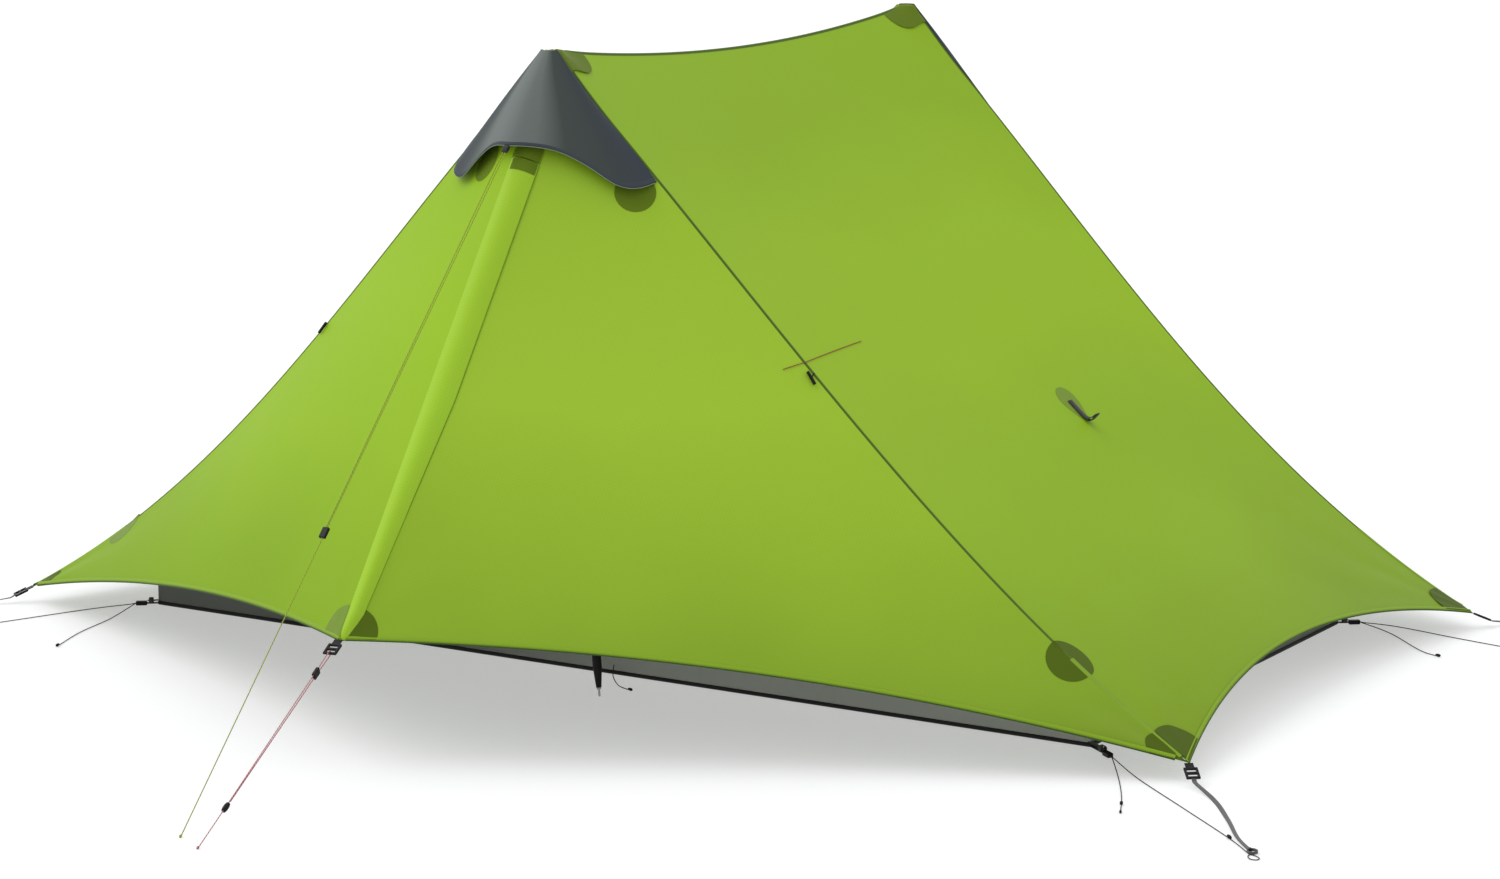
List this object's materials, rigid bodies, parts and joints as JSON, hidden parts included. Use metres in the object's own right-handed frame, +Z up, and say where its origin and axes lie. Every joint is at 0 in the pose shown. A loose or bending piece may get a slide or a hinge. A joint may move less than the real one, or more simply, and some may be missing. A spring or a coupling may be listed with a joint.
{
  "type": "trekking pole tent",
  "caption": "Ridge tent on trekking poles: sloping end panels, zipped porches front and rear, vent hoods, bathtub floor with mesh walls, and guylines.",
  "frame": {"origin": "on the ground under the middle of the tent", "axes": "+X along the sleepers to the right end panel, -Y to the front porch, +Z up"},
  "size_m": [3.3053, 3.3953, 1.2516],
  "materials": {
    "fly": "satin",
    "hood": "satin",
    "floor": "satin",
    "mesh": "matte",
    "plastic": "matte",
    "aluminium": "satin",
    "foam": "matte",
    "dark_cord": "matte",
    "strap": "matte",
    "yellow_guy": "matte",
    "red_guy": "matte"
  },
  "bodies": {
    "tent": {"apex_guy": "yellow_guy", "corner_cord_front_left": "dark_cord", "corner_cord_front_right": "dark_cord", "corner_cord_rear_right": "dark_cord", "corner_strap_front_left": "strap", "corner_strap_front_right": "strap", "corner_strap_rear_right": "strap", "corner_tail_front_left": "dark_cord", "corner_tail_front_right": "dark_cord", "corner_tail_rear_right": "dark_cord", "end_panel_left": "fly", "end_panel_right": "fly", "floor_corner_lock_front_left": "plastic", "floor_corner_lock_front_right": "plastic", "floor_corner_lock_rear_left": "plastic", "floor_corner_lock_rear_right": "plastic", "floor_loop_cord": "dark_cord", "floor_tray": "floor", "front_apex_cup": "plastic", "front_guy_loop": "plastic", "front_hood": "hood", "front_pole_grip": "foam", "front_pole_upper_shaft": "aluminium", "front_porch_hook": "plastic", "front_yoke": "fly", "inner_wall_left": "mesh", "inner_wall_right": "mesh", "porch_guy": "red_guy", "rear_apex_cup": "plastic", "rear_guy_loop": "plastic", "rear_hood": "hood", "rear_pole_grip": "foam", "rear_pole_upper_shaft": "aluminium", "rear_yoke": "fly", "side_pullout_left": "plastic", "side_pullout_right": "plastic", "tie_back_cord": "red_guy"},
    "front_door_left": {"front_door_left": "fly"},
    "front_door_right": {"front_door_right": "fly", "front_zip_chain": "plastic"},
    "front_zip_slider": {"front_zip_slider": "plastic"},
    "front_pole_lower_shaft": {"front_pole_lower_shaft": "aluminium"},
    "front_pole_lever": {"front_pole_lever": "plastic"},
    "inner_door_front": {"inner_door_front": "mesh"},
    "rear_door_left": {"rear_door_left": "fly"},
    "rear_door_right": {"rear_door_right": "fly", "rear_zip_chain": "plastic"},
    "rear_zip_slider": {"rear_zip_slider": "plastic"},
    "rear_pole_lower_shaft": {"rear_pole_lower_shaft": "aluminium"},
    "rear_pole_lever": {"rear_pole_lever": "plastic"},
    "inner_door_rear": {"inner_door_rear": "mesh"},
    "rear_porch_hook": {"rear_porch_hook": "plastic"},
    "corner_buckle_front_right": {"corner_buckle_front_right": "plastic"},
    "corner_buckle_front_left": {"corner_buckle_front_left": "plastic"},
    "corner_buckle_rear_right": {"corner_buckle_rear_right": "plastic"},
    "corner_buckle_rear_left": {"corner_buckle_rear_left": "plastic"},
    "door_toggle_right": {"door_toggle_right": "plastic"},
    "door_toggle_left": {"door_toggle_left": "plastic"},
    "apex_guy_tensioner": {"apex_guy_tensioner": "plastic"},
    "porch_guy_tensioner": {"porch_guy_tensioner": "plastic"}
  },
  "joints": [
    {"name": "front_door_left_fold", "type": "hinge", "parent": "tent", "child": "front_door_left", "pos_m": [-0.00081, -0.8286, 1.06136], "axis": [-0.7983, 0.0775, -0.5972], "range_deg": [0, 100]},
    {"name": "front_door_right_fold", "type": "hinge", "parent": "tent", "child": "front_door_right", "pos_m": [0.00081, -0.8286, 1.06136], "axis": [-0.7983, -0.0775, 0.5972], "range_deg": [0, 40]},
    {"name": "front_zip_slide", "type": "slide", "parent": "front_door_right", "child": "front_zip_slider", "axis": [0, 0.5664, 0.8241], "range_m": [0, 0.87]},
    {"name": "front_pole_telescope", "type": "slide", "parent": "tent", "child": "front_pole_lower_shaft", "axis": [-0.1034, 0.0342, 0.9941], "range_m": [0, 0.35]},
    {"name": "front_pole_lever_pin", "type": "hinge", "parent": "tent", "child": "front_pole_lever", "pos_m": [0.04654, -0.71832, 0.62867], "axis": [0.0035, 0.9994, -0.034], "range_deg": [0, 115]},
    {"name": "inner_door_front_seam", "type": "hinge", "parent": "tent", "child": "inner_door_front", "pos_m": [1.12, -0.579, 0.1209], "axis": [0.7729, 0.0145, -0.6343], "range_deg": [0, 70]},
    {"name": "rear_door_left_fold", "type": "hinge", "parent": "tent", "child": "rear_door_left", "pos_m": [0.00081, 0.8286, 1.06136], "axis": [0.7983, -0.0775, -0.5972], "range_deg": [0, 100]},
    {"name": "rear_door_right_fold", "type": "hinge", "parent": "tent", "child": "rear_door_right", "pos_m": [-0.00081, 0.8286, 1.06136], "axis": [0.7983, 0.0775, 0.5972], "range_deg": [0, 40]},
    {"name": "rear_zip_slide", "type": "slide", "parent": "rear_door_right", "child": "rear_zip_slider", "axis": [0, -0.5664, 0.8241], "range_m": [0, 0.87]},
    {"name": "rear_pole_telescope", "type": "slide", "parent": "tent", "child": "rear_pole_lower_shaft", "axis": [0.1034, -0.0342, 0.9941], "range_m": [0, 0.35]},
    {"name": "rear_pole_lever_pin", "type": "hinge", "parent": "tent", "child": "rear_pole_lever", "pos_m": [-0.04654, 0.71832, 0.62867], "axis": [-0.0035, -0.9994, -0.034], "range_deg": [0, 115]},
    {"name": "inner_door_rear_seam", "type": "hinge", "parent": "tent", "child": "inner_door_rear", "pos_m": [-1.12, 0.579, 0.1209], "axis": [-0.7729, -0.0145, -0.6343], "range_deg": [0, 70]},
    {"name": "rear_porch_hook_tilt", "type": "hinge", "parent": "tent", "child": "rear_porch_hook", "pos_m": [-0.0002, 1.39691, 0.23262], "axis": [0.9763, 0.2166, 0], "range_deg": [0, 60]},
    {"name": "corner_buckle_front_right_tilt", "type": "hinge", "parent": "tent", "child": "corner_buckle_front_right", "pos_m": [1.37235, -0.69443, 0.03377], "axis": [-0.7789, -0.6272, 0], "range_deg": [0, 35]},
    {"name": "corner_buckle_front_left_tilt", "type": "hinge", "parent": "tent", "child": "corner_buckle_front_left", "pos_m": [-1.37235, -0.69443, 0.03377], "axis": [-0.7789, 0.6272, 0], "range_deg": [0, 35]},
    {"name": "corner_buckle_rear_right_tilt", "type": "hinge", "parent": "tent", "child": "corner_buckle_rear_right", "pos_m": [1.37235, 0.69443, 0.03377], "axis": [0.7789, -0.6272, 0], "range_deg": [0, 35]},
    {"name": "corner_buckle_rear_left_tilt", "type": "hinge", "parent": "tent", "child": "corner_buckle_rear_left", "pos_m": [-1.37235, 0.69443, 0.03377], "axis": [0.7789, 0.6272, 0], "range_deg": [0, 35]},
    {"name": "door_toggle_right_lift", "type": "hinge", "parent": "tent", "child": "door_toggle_right", "pos_m": [0.57582, -0.67312, 0.671], "axis": [-0.7484, -0.0016, 0.6633], "range_deg": [0, 60]},
    {"name": "door_toggle_left_lift", "type": "hinge", "parent": "tent", "child": "door_toggle_left", "pos_m": [-0.57582, -0.67312, 0.671], "axis": [-0.7484, 0.0016, -0.6633], "range_deg": [0, 60]},
    {"name": "apex_guy_tensioner_slide", "type": "slide", "parent": "tent", "child": "apex_guy_tensioner", "axis": [0.0361, -0.7031, -0.7102], "range_m": [-0.3, 0.25]},
    {"name": "porch_guy_tensioner_slide", "type": "slide", "parent": "tent", "child": "porch_guy_tensioner", "axis": [0.2007, -0.905, -0.3751], "range_m": [-0.02, 0.22]}
  ],
  "couplings": [
    {"joint": "front_door_right_fold", "follows": "front_door_left_fold", "ratio": 0.4},
    {"joint": "rear_door_right_fold", "follows": "rear_door_left_fold", "ratio": 0.4}
  ]
}
